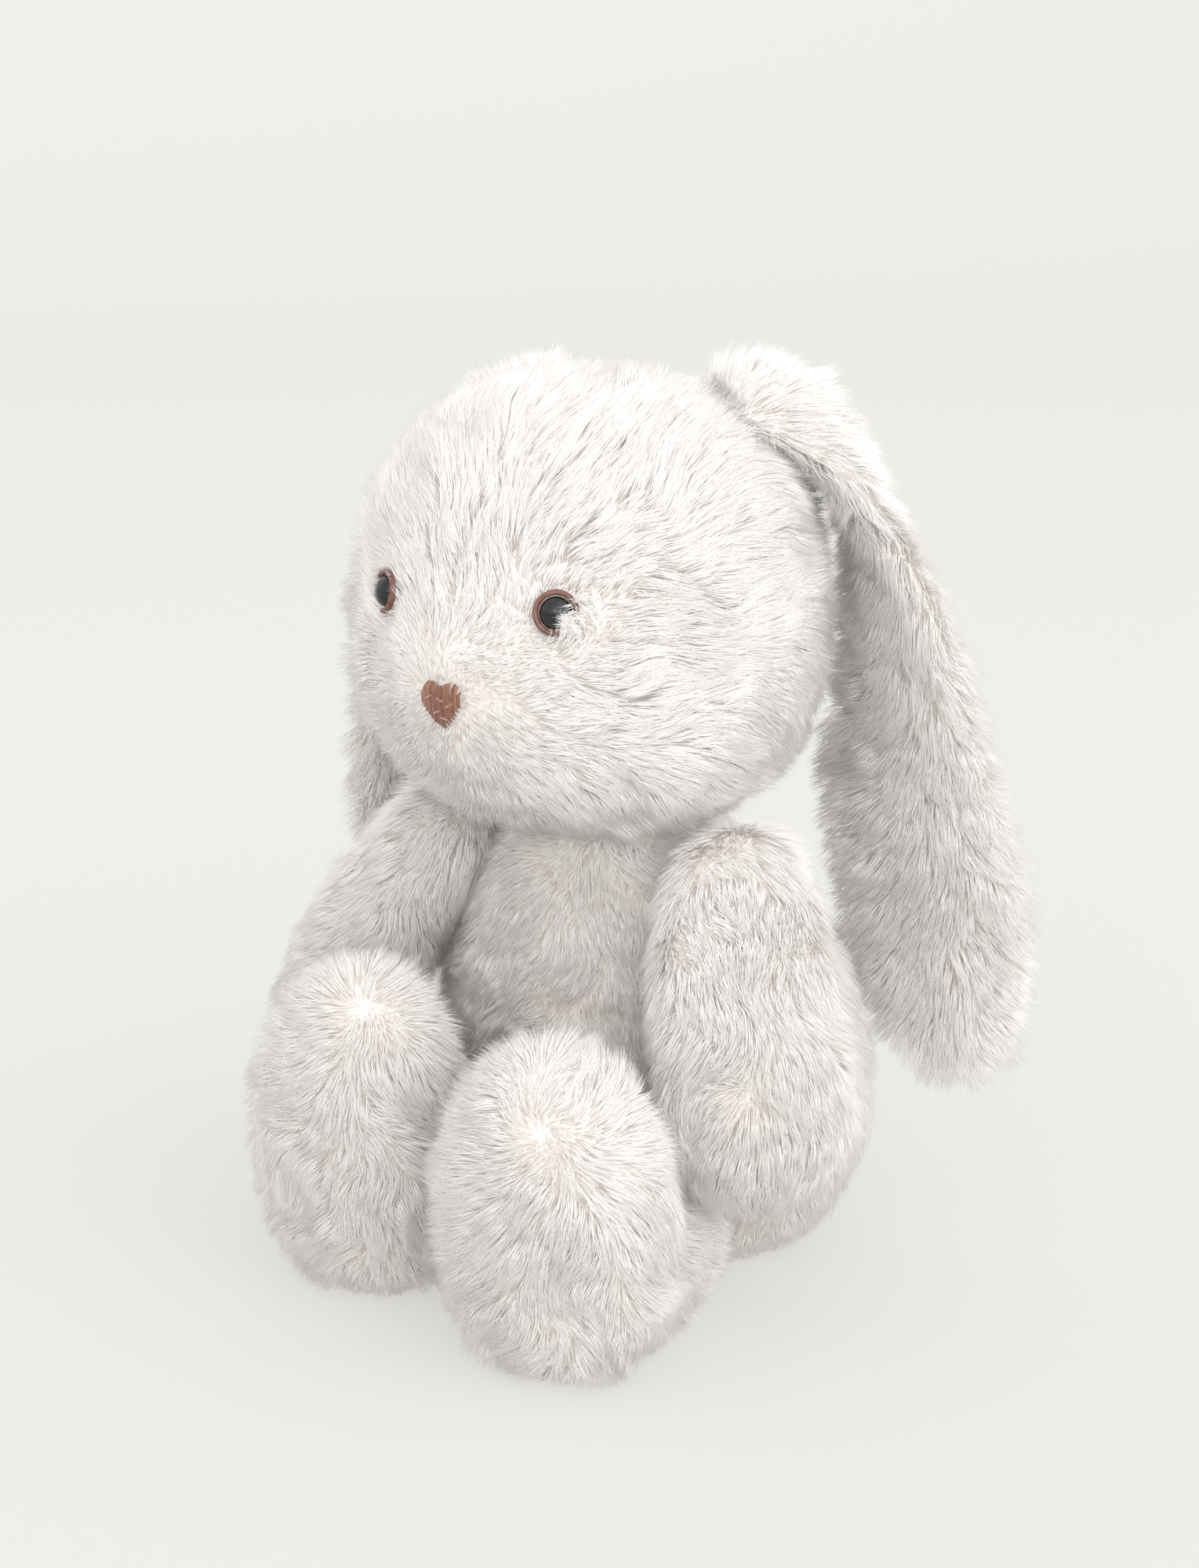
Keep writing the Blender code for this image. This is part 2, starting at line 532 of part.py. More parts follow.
def ball(radius, around=14, down=7):
    points = []
    for i in range(down + 2):
        polar = math.pi * i / (down + 1)
        for j in range(around if 0 < i <= down else 1):
            turn = 2 * math.pi * j / around
            points.append((TAIL_C[0] + radius * math.sin(polar) * math.sin(turn), TAIL_C[1] + radius * math.cos(polar),
                           TAIL_C[2] + radius * math.sin(polar) * math.cos(turn)))
    return points, ring_faces(down, around)


tail = mesh_object("tail_cover", *ball(TAIL_R), PLUSH)
boolean(tail, mesh_object("tail_hollow", *ball(TAIL_R - CLOTH)), "DIFFERENCE")
boolean(tail, disc("cut_tail", TAIL_C, (0, -1, 0), ((5, 4.5), (25, 4.5))), "DIFFERENCE")
mesh_object("tail_stuffing", *ball(TAIL_R - CLOTH - FILL_GAP, 12, 6), FIBRE, 1.0)

# ---- origins of the moving pieces sit on their joint axes ------------------------------------------------

PIVOTS = {
    "head": ((*NECK_C, 146.0), ("head_", "eye_", "nose")),
    "neck": ((*NECK_C, 140.0), ("neck_",)),
    "ear_left": (EAR_LEFT[0][:3], ("ear_left",)),
    "ear_right": (EAR_RIGHT[0][:3], ("ear_right",)),
    "arm_left": (SHOULDER["left"], ("arm_left",)),
    "arm_right": (SHOULDER["right"], ("arm_right",)),
    "leg_left": (HIP["left"], ("leg_left", "foot_left")),
    "leg_right": (HIP["right"], ("leg_right", "foot_right")),
    "tail": ((TAIL_C[0], TAIL_C[1] - TAIL_R, TAIL_C[2]), ("tail_",)),
}
for pivot, starts in PIVOTS.values():
    centre = Vector(pivot) * MM
    for piece in list(bpy.data.objects):
        if piece.type == "MESH" and not piece.hide_render and piece.name.startswith(starts):
            piece.data.transform(Matrix.Translation(-centre))
            piece.location = centre
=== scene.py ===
"""Looks of a seated long-pile plush bunny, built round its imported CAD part.

Each sewn body has an undercoat skin over its panels, and combed pile: mesh fibres rooted on the skin, clumped
into tufts and laid along a flow that is written for that body. Places and distances are in metres; fibre
lengths and widths are in millimetres until MM makes them metres. The bunny faces -Y and its left side is +X.
"""

import math

import bmesh
import bpy
import numpy as np
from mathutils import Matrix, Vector, kdtree
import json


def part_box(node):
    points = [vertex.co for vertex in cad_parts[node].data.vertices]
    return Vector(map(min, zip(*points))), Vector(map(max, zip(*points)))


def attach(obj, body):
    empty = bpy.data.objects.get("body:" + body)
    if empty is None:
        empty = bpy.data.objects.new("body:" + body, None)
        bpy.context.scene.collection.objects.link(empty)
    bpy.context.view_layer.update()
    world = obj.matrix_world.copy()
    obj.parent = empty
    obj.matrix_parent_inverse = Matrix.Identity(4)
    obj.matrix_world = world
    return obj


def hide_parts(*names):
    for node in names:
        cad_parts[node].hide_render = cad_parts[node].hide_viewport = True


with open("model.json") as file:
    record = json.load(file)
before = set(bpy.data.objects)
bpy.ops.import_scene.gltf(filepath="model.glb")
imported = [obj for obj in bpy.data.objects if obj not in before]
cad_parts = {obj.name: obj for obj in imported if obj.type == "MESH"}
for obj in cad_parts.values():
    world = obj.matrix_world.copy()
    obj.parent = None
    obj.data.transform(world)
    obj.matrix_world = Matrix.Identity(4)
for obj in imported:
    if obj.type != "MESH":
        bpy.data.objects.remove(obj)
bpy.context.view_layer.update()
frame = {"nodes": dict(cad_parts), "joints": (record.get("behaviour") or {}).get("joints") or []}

MM = 0.001
SIDES = (("left", 1.0), ("right", -1.0))

# ---- camera, light, floor --------------------------------------------------------------------------------

CAMERA_AZIMUTH = math.radians(34.34)
CAMERA_DISTANCE, CAMERA_HEIGHT = 0.8582, 0.3597
CAMERA_TARGET = Vector((-0.00094, -0.020, 0.1454))
CAMERA_LENS, CAMERA_SENSOR = 69.03, 36.0

LIT_AT = Vector((0, 0, 0.12))       # where the key light points
VIEW_GAMMA = 1.3                    # lifts the shades of white, as a bright studio exposure does
SWEEP_FROM, SWEEP_R = 2.8, 1.6      # radius where the floor starts to rise, and the radius of its curve
SWEEP_TURN, SWEEP_RINGS, SWEEP_AROUND = math.radians(60), 9, 72
WORLD_RGB = (1.0, 0.99, 0.985)
WORLD_STRENGTH, WORLD_LOBE = 1.2, 4.2
BRIGHT_SIDE = Vector((0.90, -0.43, -0.06))
PAPER_NEAR, PAPER_FAR = (0.215, 0.220, 0.209), (0.178, 0.180, 0.171)
PAPER_GLOW, PAPER_GLOW_RGB = 0.49, (1.0, 0.968, 0.945)
PAPER_FADE = (0.6, 3.6)             # radii between which the paper goes from its near to its far colour
LIGHT_BOUNCES = 8                   # white pile stays white only when light can bounce about in it


def make_camera():
    data = bpy.data.cameras.new("camera")
    data.lens, data.sensor_width = CAMERA_LENS, CAMERA_SENSOR
    data.sensor_fit = "AUTO"
    camera = bpy.data.objects.new("camera", data)
    bpy.context.scene.collection.objects.link(camera)
    out = Vector((math.sin(CAMERA_AZIMUTH), -math.cos(CAMERA_AZIMUTH), 0)) * CAMERA_DISTANCE
    camera.location = Vector((CAMERA_TARGET.x, CAMERA_TARGET.y, CAMERA_HEIGHT)) + Vector((out.x, out.y, 0))
    camera.rotation_euler = (CAMERA_TARGET - camera.location).to_track_quat("-Z", "Y").to_euler()
    bpy.context.scene.camera = camera


def area_light(name, azimuth, height, distance, size, watts, colour):
    """A square soft box that looks at the bunny; azimuth 0 is in front of it, positive to its left."""
    data = bpy.data.lights.new(name, "AREA")
    data.shape, data.size, data.energy, data.color = "SQUARE", size, watts, colour
    lamp = bpy.data.objects.new(name, data)
    bpy.context.scene.collection.objects.link(lamp)
    turn = math.radians(azimuth)
    lamp.location = (distance * math.sin(turn), -distance * math.cos(turn), height)
    lamp.rotation_euler = (LIT_AT - lamp.location).to_track_quat("-Z", "Y").to_euler()


def make_stage():
    """A pale floor that sweeps up far behind, and a pale world above it."""
    work = bmesh.new()
    rings, around = [], SWEEP_AROUND
    profile = [(0.8, 0.0), (2.0, 0.0), (SWEEP_FROM, 0.0)]
    profile += [(SWEEP_FROM + SWEEP_R * math.sin(t), SWEEP_R - SWEEP_R * math.cos(t))
                for t in np.linspace(0.1, SWEEP_TURN, SWEEP_RINGS)]
    middle = work.verts.new((0, 0, 0))
    for radius, height in profile:
        turns = [2 * math.pi * j / around for j in range(around)]
        rings.append([work.verts.new((radius * math.cos(turn), radius * math.sin(turn), height))
                      for turn in turns])
    for j in range(around):
        work.faces.new((middle, rings[0][j], rings[0][(j + 1) % around]))
        for a, b in zip(rings, rings[1:]):
            work.faces.new((a[j], b[j], b[(j + 1) % around], a[(j + 1) % around]))
    data = bpy.data.meshes.new("stage_floor")
    work.to_mesh(data)
    work.free()
    floor = bpy.data.objects.new("stage_floor", data)
    bpy.context.scene.collection.objects.link(floor)
    for face in data.polygons:
        face.use_smooth = True
    data.materials.append(paper_material())


def make_world():
    """A pale dome, brighter low on the bunny's left and in front of it, like a wall of soft boxes there."""
    world = bpy.data.worlds.new("studio")
    world.use_nodes = True
    tree = world.node_tree
    back = tree.nodes["Background"]
    back.inputs["Color"].default_value = (*WORLD_RGB, 1)
    way = tree.nodes.new("ShaderNodeTexCoord").outputs["Generated"]
    facing = tree.nodes.new("ShaderNodeVectorMath")
    facing.operation = "DOT_PRODUCT"
    facing.inputs[1].default_value = BRIGHT_SIDE.normalized()
    tree.links.new(way, facing.inputs[0])
    lobe = tree.nodes.new("ShaderNodeMath")
    lobe.operation, lobe.use_clamp = "MAXIMUM", True
    lobe.inputs[1].default_value = 0.0
    tree.links.new(facing.outputs["Value"], lobe.inputs[0])
    soft = tree.nodes.new("ShaderNodeMath")
    soft.operation = "POWER"
    soft.inputs[1].default_value = 2.0
    tree.links.new(lobe.outputs[0], soft.inputs[0])
    total = tree.nodes.new("ShaderNodeMath")
    total.operation = "MULTIPLY_ADD"
    total.inputs[1].default_value = WORLD_LOBE
    total.inputs[2].default_value = WORLD_STRENGTH
    tree.links.new(soft.outputs[0], total.inputs[0])
    tree.links.new(total.outputs[0], back.inputs["Strength"])
    bpy.context.scene.world = world


def paper_material():
    """Backlit paper: its own glow keeps the shadows faint. It is a little darker far out."""
    made = Nodes("stage_paper", PAPER_NEAR, 0.9, Specular_IOR_Level=0.0, Emission_Strength=PAPER_GLOW)
    made.shader.inputs["Emission Color"].default_value = (*PAPER_GLOW_RGB, 1)
    place = made.add("TexCoord").outputs["Object"]
    radius = made.add("VectorMath", {0: place}, operation="LENGTH").outputs["Value"]
    fade = made.add("MapRange", {"Value": radius, "From Min": PAPER_FADE[0], "From Max": PAPER_FADE[1]})
    colour = made.ramp(fade.outputs["Result"], ((0.0, PAPER_NEAR), (1.0, PAPER_FAR)))
    return made.link(colour, "Base Color").material


# ---- materials -------------------------------------------------------------------------------------------


def plain_material(name, rgb, rough):
    made = bpy.data.materials.new(name)
    made.use_nodes = True
    shader = made.node_tree.nodes["Principled BSDF"]
    shader.inputs["Base Color"].default_value = (*rgb, 1)
    shader.inputs["Roughness"].default_value = rough
    return made


class Nodes:
    """Short-hand for building a node tree that ends in the material's own Principled shader."""

    def __init__(self, name, rgb, rough, **sockets):
        self.material = plain_material(name, rgb, rough)
        self.tree = self.material.node_tree
        self.shader = self.tree.nodes["Principled BSDF"]
        for socket, value in sockets.items():
            self.shader.inputs[socket.replace("_", " ")].default_value = value

    def add(self, kind, inputs=None, **settings):
        node = self.tree.nodes.new(f"ShaderNode{kind}")
        for key, value in settings.items():
            setattr(node, key, value)
        for key, value in (inputs or {}).items():
            if isinstance(value, bpy.types.NodeSocket):
                self.tree.links.new(value, node.inputs[key])
            else:
                node.inputs[key].default_value = value
        return node

    def ramp(self, factor, stops):
        node = self.add("ValToRGB", {"Fac": factor})
        for i, (place, rgb) in enumerate(stops):
            stop = node.color_ramp.elements[i] if i < 2 else node.color_ramp.elements.new(place)
            stop.position, stop.color = place, (*rgb, 1)
        return node.outputs["Color"]

    def times(self, a, b):
        """The product of two colours, through the colour sockets of a Mix node."""
        node = self.add("Mix", {0: 1.0, 6: a, 7: b}, data_type="RGBA", blend_type="MULTIPLY")
        return node.outputs[2]

    def link(self, output, socket):
        self.tree.links.new(output, self.shader.inputs[socket])
        return self

    def noise(self, scale, detail):
        place = self.add("TexCoord").outputs["Object"]
        return self.add("TexNoise", {"Vector": place, "Scale": scale, "Detail": detail, "Roughness": 0.5})


WHITE = (1.0, 1.0, 1.0)
# The root colour, warmer and darker than the tip, is painted shade deep in the pile.
ROOT_SHADE_RGB = (0.91, 0.86, 0.82)
MID_RGB = (0.965, 0.942, 0.925)
TIP_RGB = (0.972, 0.960, 0.950)


def fibre_material():
    """Pile: warmer and darker at the root, as painted shade deep in the pile, pale at the tip, each fibre
    with a tone of its own, partly random and partly painted shade.
    """
    made = Nodes("pile", MID_RGB, 0.6, Specular_IOR_Level=0.25, Sheen_Weight=0.1, Sheen_Roughness=0.5)
    along = made.add("Attribute", attribute_name="along").outputs["Fac"]
    tone = made.add("Attribute", attribute_name="tone").outputs["Fac"]
    length = made.ramp(along, ((0.0, ROOT_SHADE_RGB), (0.45, MID_RGB), (1.0, TIP_RGB)))
    # Low tones, where painted shade was laid on, give darker, warmer fibres.
    shade = made.ramp(tone, ((0.0, (0.90, 0.855, 0.815)), (0.5, (0.98, 0.968, 0.957)), (1.0, WHITE)))
    return made.link(made.times(length, shade), "Base Color").material


def undercoat_material():
    """The dense short fibres between the long ones, in a darker beige that is painted shade deep in the pile.
    """
    made = Nodes("undercoat", ROOT_SHADE_RGB, 0.9, Specular_IOR_Level=0.1, Sheen_Weight=0.2)
    fine = made.noise(1400.0, 3.0)
    wide = made.noise(160.0, 3.0)
    # This beige, darker than the pile, is painted shade where the gaps between fibres show.
    colour = made.ramp(fine.outputs["Fac"], ((0.3, (0.87, 0.81, 0.765)), (0.7, (0.95, 0.92, 0.895))))
    shade = made.ramp(wide.outputs["Fac"], ((0.35, (0.93, 0.92, 0.91)), (0.65, WHITE)))
    bump = made.add("Bump", {"Strength": 0.5, "Distance": 0.0006, "Height": fine.outputs["Fac"]})
    made.link(made.times(colour, shade), "Base Color").link(bump.outputs["Normal"], "Normal")
    return made.material


def eye_black_material():
    """Glossy moulded dome with faint swirls in the plastic."""
    made = Nodes("eye_black", (0.006, 0.005, 0.005), 0.06, Specular_IOR_Level=0.2)
    swirl = made.noise(420.0, 3.0)
    stops = ((0.35, (0.003, 0.003, 0.003)), (0.7, (0.009, 0.008, 0.008)))
    return made.link(made.ramp(swirl.outputs["Fac"], stops), "Base Color").material


def eye_ring_material():
    """Red-brown moulded ring with streaks in the plastic."""
    made = Nodes("eye_ring", (0.10, 0.03, 0.02), 0.25, Specular_IOR_Level=0.3)
    streak = made.noise(700.0, 4.0)
    stops = ((0.3, (0.062, 0.020, 0.013)), (0.7, (0.150, 0.056, 0.036)))
    return made.link(made.ramp(streak.outputs["Fac"], stops), "Base Color").material


def nose_thread_material():
    """Brown embroidery floss: each stitch has a tone of its own, with paler wear along it."""
    made = Nodes("nose_floss", (0.22, 0.09, 0.05), 0.55,
                 Specular_IOR_Level=0.3, Sheen_Weight=0.4, Sheen_Roughness=0.4)
    tone = made.add("Attribute", attribute_name="tone").outputs["Fac"]
    dyed = ((0.0, (0.085, 0.022, 0.008)), (0.5, (0.185, 0.062, 0.030)), (1.0, (0.42, 0.20, 0.13)))
    strand = made.ramp(tone, dyed)
    fuzz = made.noise(1500.0, 4.0)
    worn = made.ramp(fuzz.outputs["Fac"], ((0.35, (0.70, 0.62, 0.58)), (0.62, WHITE), (0.8, WHITE)))
    bump = made.add("Bump", {"Strength": 0.6, "Distance": 0.0003, "Height": fuzz.outputs["Fac"]})
    made.link(made.times(strand, worn), "Base Color").link(bump.outputs["Normal"], "Normal")
    return made.material


def hidden_material(name, dark, light, scale, rough):
    """A plain grained finish for the pieces that the cover hides."""
    made = Nodes(name, light, rough)
    grain = made.noise(scale, 4.0)
    bump = made.add("Bump", {"Strength": 0.4, "Distance": 0.0004, "Height": grain.outputs["Fac"]})
    made.link(made.ramp(grain.outputs["Fac"], ((0.3, dark), (0.7, light))), "Base Color")
    return made.link(bump.outputs["Normal"], "Normal").material


# ---- skins -----------------------------------------------------------------------------------------------

FLOOR_GAP = 0.0004                  # how far every skin stays off the floor
SMOOTH, UNSMOOTH = 0.55, -0.56      # the two steps of a Taubin round


def arrays_of(mesh):
    co = np.empty(len(mesh.vertices) * 3, np.float64)
    mesh.vertices.foreach_get("co", co)
    mesh.calc_loop_triangles()
    tri = np.empty(len(mesh.loop_triangles) * 3, np.int64)
    mesh.loop_triangles.foreach_get("vertices", tri)
    return co.reshape(-1, 3), tri.reshape(-1, 3)


def outermost(mesh):
    """Removes everything but the largest closed surface."""
    work = bmesh.new()
    work.from_mesh(mesh)
    seen, islands = set(), []
    for start in work.verts:
        if start in seen:
            continue
        island, front = [], [start]
        seen.add(start)
        while front:
            vert = front.pop()
            island.append(vert)
            for edge in vert.link_edges:
                other = edge.other_vert(vert)
                if other not in seen:
                    seen.add(other)
                    front.append(other)
        islands.append(island)

    def spread(island):
        xs = [v.co.x for v in island]
        zs = [v.co.z for v in island]
        return (max(xs) - min(xs)) * (max(zs) - min(zs))

    islands.sort(key=spread)
    for island in islands[:-1]:
        bmesh.ops.delete(work, geom=island, context="VERTS")
    bmesh.ops.recalc_face_normals(work, faces=work.faces)
    work.to_mesh(mesh)
    work.free()


def relax(mesh, rounds):
    """Taubin smoothing, which doesn't shrink the surface."""
    co = np.empty(len(mesh.vertices) * 3, np.float64)
    mesh.vertices.foreach_get("co", co)
    co = co.reshape(-1, 3)
    edges = np.empty(len(mesh.edges) * 2, np.int64)
    mesh.edges.foreach_get("vertices", edges)
    edges = edges.reshape(-1, 2)
    count = np.bincount(edges.ravel(), minlength=len(co))[:, None]
    for step in range(rounds * 2):
        total = np.zeros_like(co)
        np.add.at(total, edges[:, 0], co[edges[:, 1]])
        np.add.at(total, edges[:, 1], co[edges[:, 0]])
        co = co + (SMOOTH if step % 2 == 0 else UNSMOOTH) * (total / count - co)
        co[:, 2] = np.maximum(co[:, 2], FLOOR_GAP)
    mesh.vertices.foreach_set("co", co.astype(np.float32).ravel())
    mesh.update()


def skin_round(name, nodes, body, voxel, rounds=6):
    """One closed surface round these CAD nodes, which it stands for."""
    work = bmesh.new()
    for node in nodes:
        work.from_mesh(frame["nodes"][node].data)
    rough = bpy.data.meshes.new(f"{name}_rough")
    work.to_mesh(rough)
    work.free()
    made = bpy.data.objects.new(name, rough)
    bpy.context.scene.collection.objects.link(made)
    remesh = made.modifiers.new("even", "REMESH")
    remesh.mode, remesh.voxel_size = "VOXEL", voxel * MM
    graph = bpy.context.evaluated_depsgraph_get()
    mesh = bpy.data.meshes.new_from_object(made.evaluated_get(graph))
    made.modifiers.clear()
    made.data = mesh
    mesh.name = name
    outermost(mesh)
    relax(mesh, rounds)
    for face in mesh.polygons:
        face.use_smooth = True
    mesh.materials.clear()
    mesh.materials.append(UNDERCOAT)
    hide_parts(*nodes)
    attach(made, body)
    return made


# ---- pile ------------------------------------------------------------------------------------------------

STEPS = (0.0, 0.42, 1.0)            # where along its length a fibre has points
FIBRE_WIDTH = 0.235                 # in millimetres, on average
SHORTEST = 1.2                      # in millimetres
ROOTED = 0.5                        # how far a root reaches under the skin, in millimetres
STEEPEST, FLATTEST, UPRIGHT = 85, 2, 80   # degrees off the skin
TUFT, LOCK = (150, 0.20), (12, 0.26)  # every how many fibres one leads, and how far it draws the others in
MOST_FIBRES = 19500                 # in one piece, so that it stays under 200 000 triangles


def unit(v):
    return v / np.maximum(np.linalg.norm(v, axis=-1, keepdims=True), 1e-12)


def on_surface(v, normal):
    return v - normal * (v * normal).sum(1, keepdims=True)


def waves(points, rng, reach, count=7):
    """A smooth random field, about -1 to 1, whose swells are about reach metres long."""
    ways = unit(rng.normal(size=(count, 3))) * 2 * math.pi / (reach * rng.uniform(0.6, 1.7, (count, 1)))
    return np.sin(points @ ways.T + rng.uniform(0, 2 * math.pi, count)).sum(1) / math.sqrt(count / 1.4)


def smoothstep(x, low, high):
    t = np.clip((x - low) / (high - low), 0, 1)
    return t * t * (3 - 2 * t)


class Coat:
    """Roots scattered over a skin, and the fibres that are laid from them."""

    def __init__(self, skin, per_mm2, seed, keep=None):
        self.rng = np.random.default_rng(seed)
        co, tri = arrays_of(skin.data)
        normals = np.empty(len(skin.data.vertices) * 3, np.float32)
        skin.data.vertices.foreach_get("normal", normals)
        normals = normals.reshape(-1, 3).astype(np.float64)
        a, b, c = (co[tri[:, k]] for k in range(3))
        area = np.linalg.norm(np.cross(b - a, c - a), axis=1) / 2 / MM**2
        wanted = self.rng.random(len(area)) + area * per_mm2
        picks = np.repeat(np.arange(len(area)), wanted.astype(int))
        self.rng.shuffle(picks)
        u, v = self.rng.random((2, len(picks)))
        flip = u + v > 1
        u[flip], v[flip] = 1 - u[flip], 1 - v[flip]
        w = 1 - u - v
        weights = np.stack([w, u, v], 1)
        corner = tri[picks]
        self.root = (co[corner] * weights[:, :, None]).sum(1)
        self.normal = unit((normals[corner] * weights[:, :, None]).sum(1))
        if keep is not None:
            chance = keep(self.root)
            stay = self.rng.random(len(self.root)) < chance
            self.root, self.normal = self.root[stay], self.normal[stay]
        self.count = len(self.root)

    def nearest_of(self, every):
        """The index of the nearest of every nth fibre, used as the middle of its tuft."""
        centres = np.arange(0, self.count, every)
        tree = kdtree.KDTree(len(centres))
        for i, index in enumerate(centres):
            tree.insert(self.root[index], i)
        tree.balance()
        return centres[np.array([tree.find(p)[1] for p in self.root])]

    def lay(self, flow, length, rise=(58.0, 16.0), painted_shade=0.0, stand=0.0, swirl=20.0, parting=0.15):
        """Bends every fibre from its root: rise is its angle off the skin at the root and at the tip.

        Wide swells turn the flow, tufts and locks draw their fibres together, stand lifts fibres upright, the
        darkening it is given lowers the fibres' tone as painted shade, and parting opens the pile along
        winding lines, where it is short and painted darker, as painted shade in the gap.
        """
        rng, n = self.rng, self.count
        tufts, locks = self.nearest_of(TUFT[0]), self.nearest_of(LOCK[0])
        swell = waves(self.root, rng, 0.034)
        fold = waves(self.root, rng, 0.019)
        flow = unit(on_surface(flow, self.normal))
        side = np.cross(self.normal, flow)
        turn = swell * swirl + fold * swirl * 0.6
        turn += rng.normal(0, 9, n)[tufts] + rng.normal(0, 6, n)[locks] + rng.normal(0, 8, n)
        turn = np.radians(turn)[:, None]
        flow, side = flow * np.cos(turn) + side * np.sin(turn), side * np.cos(turn) - flow * np.sin(turn)
        uneven = 0.07 * waves(self.root, rng, 0.012)
        uneven = uneven + 0.05 * rng.normal(0, 1, n)[tufts] + 0.05 * rng.normal(0, 1, n)[locks]
        part = parting * np.exp(-((fold / 0.16) ** 2)) * smoothstep(waves(self.root, rng, 0.03), -0.3, 0.5)
        length = length * (1 + uneven + rng.uniform(-0.30, 0.12, n)) * (1 - 0.6 * part)
        length = np.maximum(length, SHORTEST) * MM
        steep = 1 + 0.12 * fold + 0.08 * rng.normal(0, 1, n)[tufts] + rng.normal(0, 0.10, n)
        bend = rng.normal(0, 0.5, n)[locks] + rng.normal(0, 0.35, n)
        points = [self.root - self.normal * ROOTED * MM]
        here = self.root.copy()
        for before, after in zip(STEPS, STEPS[1:]):
            middle = (before + after) / 2
            tilt = (rise[0] + (rise[1] - rise[0]) * middle**0.7) * steep
            tilt = tilt + (UPRIGHT - tilt) * stand
            angle = np.radians(np.clip(tilt, FLATTEST, STEEPEST))[:, None]
            way = flow * np.cos(angle) + self.normal * np.sin(angle)
            here = here + length[:, None] * (after - before) * way
            here = here + side * (bend * MM * (after**2 - before**2))[:, None]
            points.append(here)
        line = np.stack(points, 1)
        for middle, pull in ((locks, LOCK[1]), (tufts, TUFT[1])):
            for k in range(1, len(STEPS)):
                share = pull * STEPS[k] ** 1.25 * rng.uniform(0.6, 1.3, n)[:, None]
                line[:, k] += (line[middle, k] - line[:, k]) * share
        self.line = line
        # The tone is partly random and partly painted shade: the darkening given and the partings lower it.
        shade = 0.60 + painted_shade + 0.07 * swell + 0.06 * rng.normal(0, 1, n)[tufts]
        shade = shade + 0.11 * rng.normal(0, 1, n) - 0.6 * part
        self.tone = np.clip(shade, 0, 1)
        return self

    def above(self):
        """Lifts what would go through the floor to just over it."""
        least = 0.0006 + 0.0004 * self.rng.random((self.count, 1))
        self.line[:, :, 2] = np.maximum(self.line[:, :, 2], least)
        return self

    def grow(self, name, body):
        """Closed three-sided fibres along the laid lines, in pieces of a bounded size."""
        pieces = math.ceil(self.count / MOST_FIBRES)
        order = np.arange(self.count)
        for piece in range(pieces):
            pick = order[piece::pieces]
            label = name if pieces == 1 else f"{name}_{piece + 1}"
            width = FIBRE_WIDTH * MM * self.rng.uniform(0.8, 1.2, len(pick))
            made = fibre_piece(label, self.line[pick], self.normal[pick], self.tone[pick], width)
            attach(made, body)


TAPER = (0.95, 0.85)                # width at the root and at the bend, against the fibre's own
STRIPS = 32                         # the colour layout has one strip for each of this many tones


def fibre_piece(name, line, normal, tone, width):
    n, rings = len(line), len(STEPS) - 1
    along = unit(line[:, 1:] - line[:, :-1])
    points = np.empty((n, rings * 3 + 1, 3))
    for k in range(rings):
        way = along[:, k] if k == 0 else unit(along[:, k] + along[:, k - 1])
        side = unit(np.cross(way, normal))
        over = np.cross(side, way)
        half = (width * TAPER[k] / 2)[:, None]
        points[:, 3 * k] = line[:, k] - side * half
        points[:, 3 * k + 1] = line[:, k] + side * half
        points[:, 3 * k + 2] = line[:, k] + over * half * 0.9
    points[:, -1] = line[:, -1]
    faces = [(1, 0, 2)]
    for k in range(rings - 1):
        for i, j in ((0, 1), (1, 2), (2, 0)):
            a, b, c, d = 3 * k + i, 3 * k + j, 3 * k + 3 + j, 3 * k + 3 + i
            faces += [(a, b, c), (a, c, d)]
    last = 3 * (rings - 1)
    faces += [(last, last + 1, last + 3), (last + 1, last + 2, last + 3), (last + 2, last, last + 3)]
    faces = np.array(faces, np.int32)
    per = rings * 3 + 1
    corners = (faces[None] + (np.arange(n, dtype=np.int32) * per)[:, None, None]).reshape(-1)
    mesh = bpy.data.meshes.new(name)
    mesh.vertices.add(n * per)
    mesh.vertices.foreach_set("co", points.astype(np.float32).ravel())
    mesh.loops.add(len(corners))
    mesh.loops.foreach_set("vertex_index", corners)
    mesh.polygons.add(len(corners) // 3)
    mesh.polygons.foreach_set("loop_start", np.arange(0, len(corners), 3, dtype=np.int32))
    mesh.update(calc_edges=True)
    mesh.polygons.foreach_set("use_smooth", np.ones(len(corners) // 3, bool))
    place = np.concatenate([np.repeat(STEPS[:-1], 3), [1.0]]).astype(np.float32)
    strip = (np.floor(tone * (STRIPS - 0.01)) + 0.5) / STRIPS
    for label, values in (("along", np.tile(place, n)), ("tone", np.repeat(strip, per))):
        mesh.attributes.new(label, "FLOAT", "POINT").data.foreach_set("value", values.astype(np.float32))
    across = np.tile(np.concatenate([np.tile((-0.3, 0.3, 0.0), rings), [0.0]]), n) / STRIPS
    spread = np.stack([np.repeat(strip, per) + across, 0.02 + 0.96 * np.tile(place, n)], 1)[corners]
    mesh.uv_layers.new(name="OFBake").data.foreach_set("uv", spread.astype(np.float32).ravel())
    mesh.materials.append(PILE)
    made = bpy.data.objects.new(name, mesh)
    bpy.context.scene.collection.objects.link(made)
    return made


# ---- the bunny -------------------------------------------------------------------------------------------


def centre_of(*nodes):
    boxes = [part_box(node) for node in nodes]
    low = np.min([b[0] for b in boxes], axis=0)
    high = np.max([b[1] for b in boxes], axis=0)
    return (low + high) / 2


def away_from(points, place):
    return points - np.asarray(place)[None]


def distance_to(points, place):
    return np.linalg.norm(away_from(points, place), axis=1)


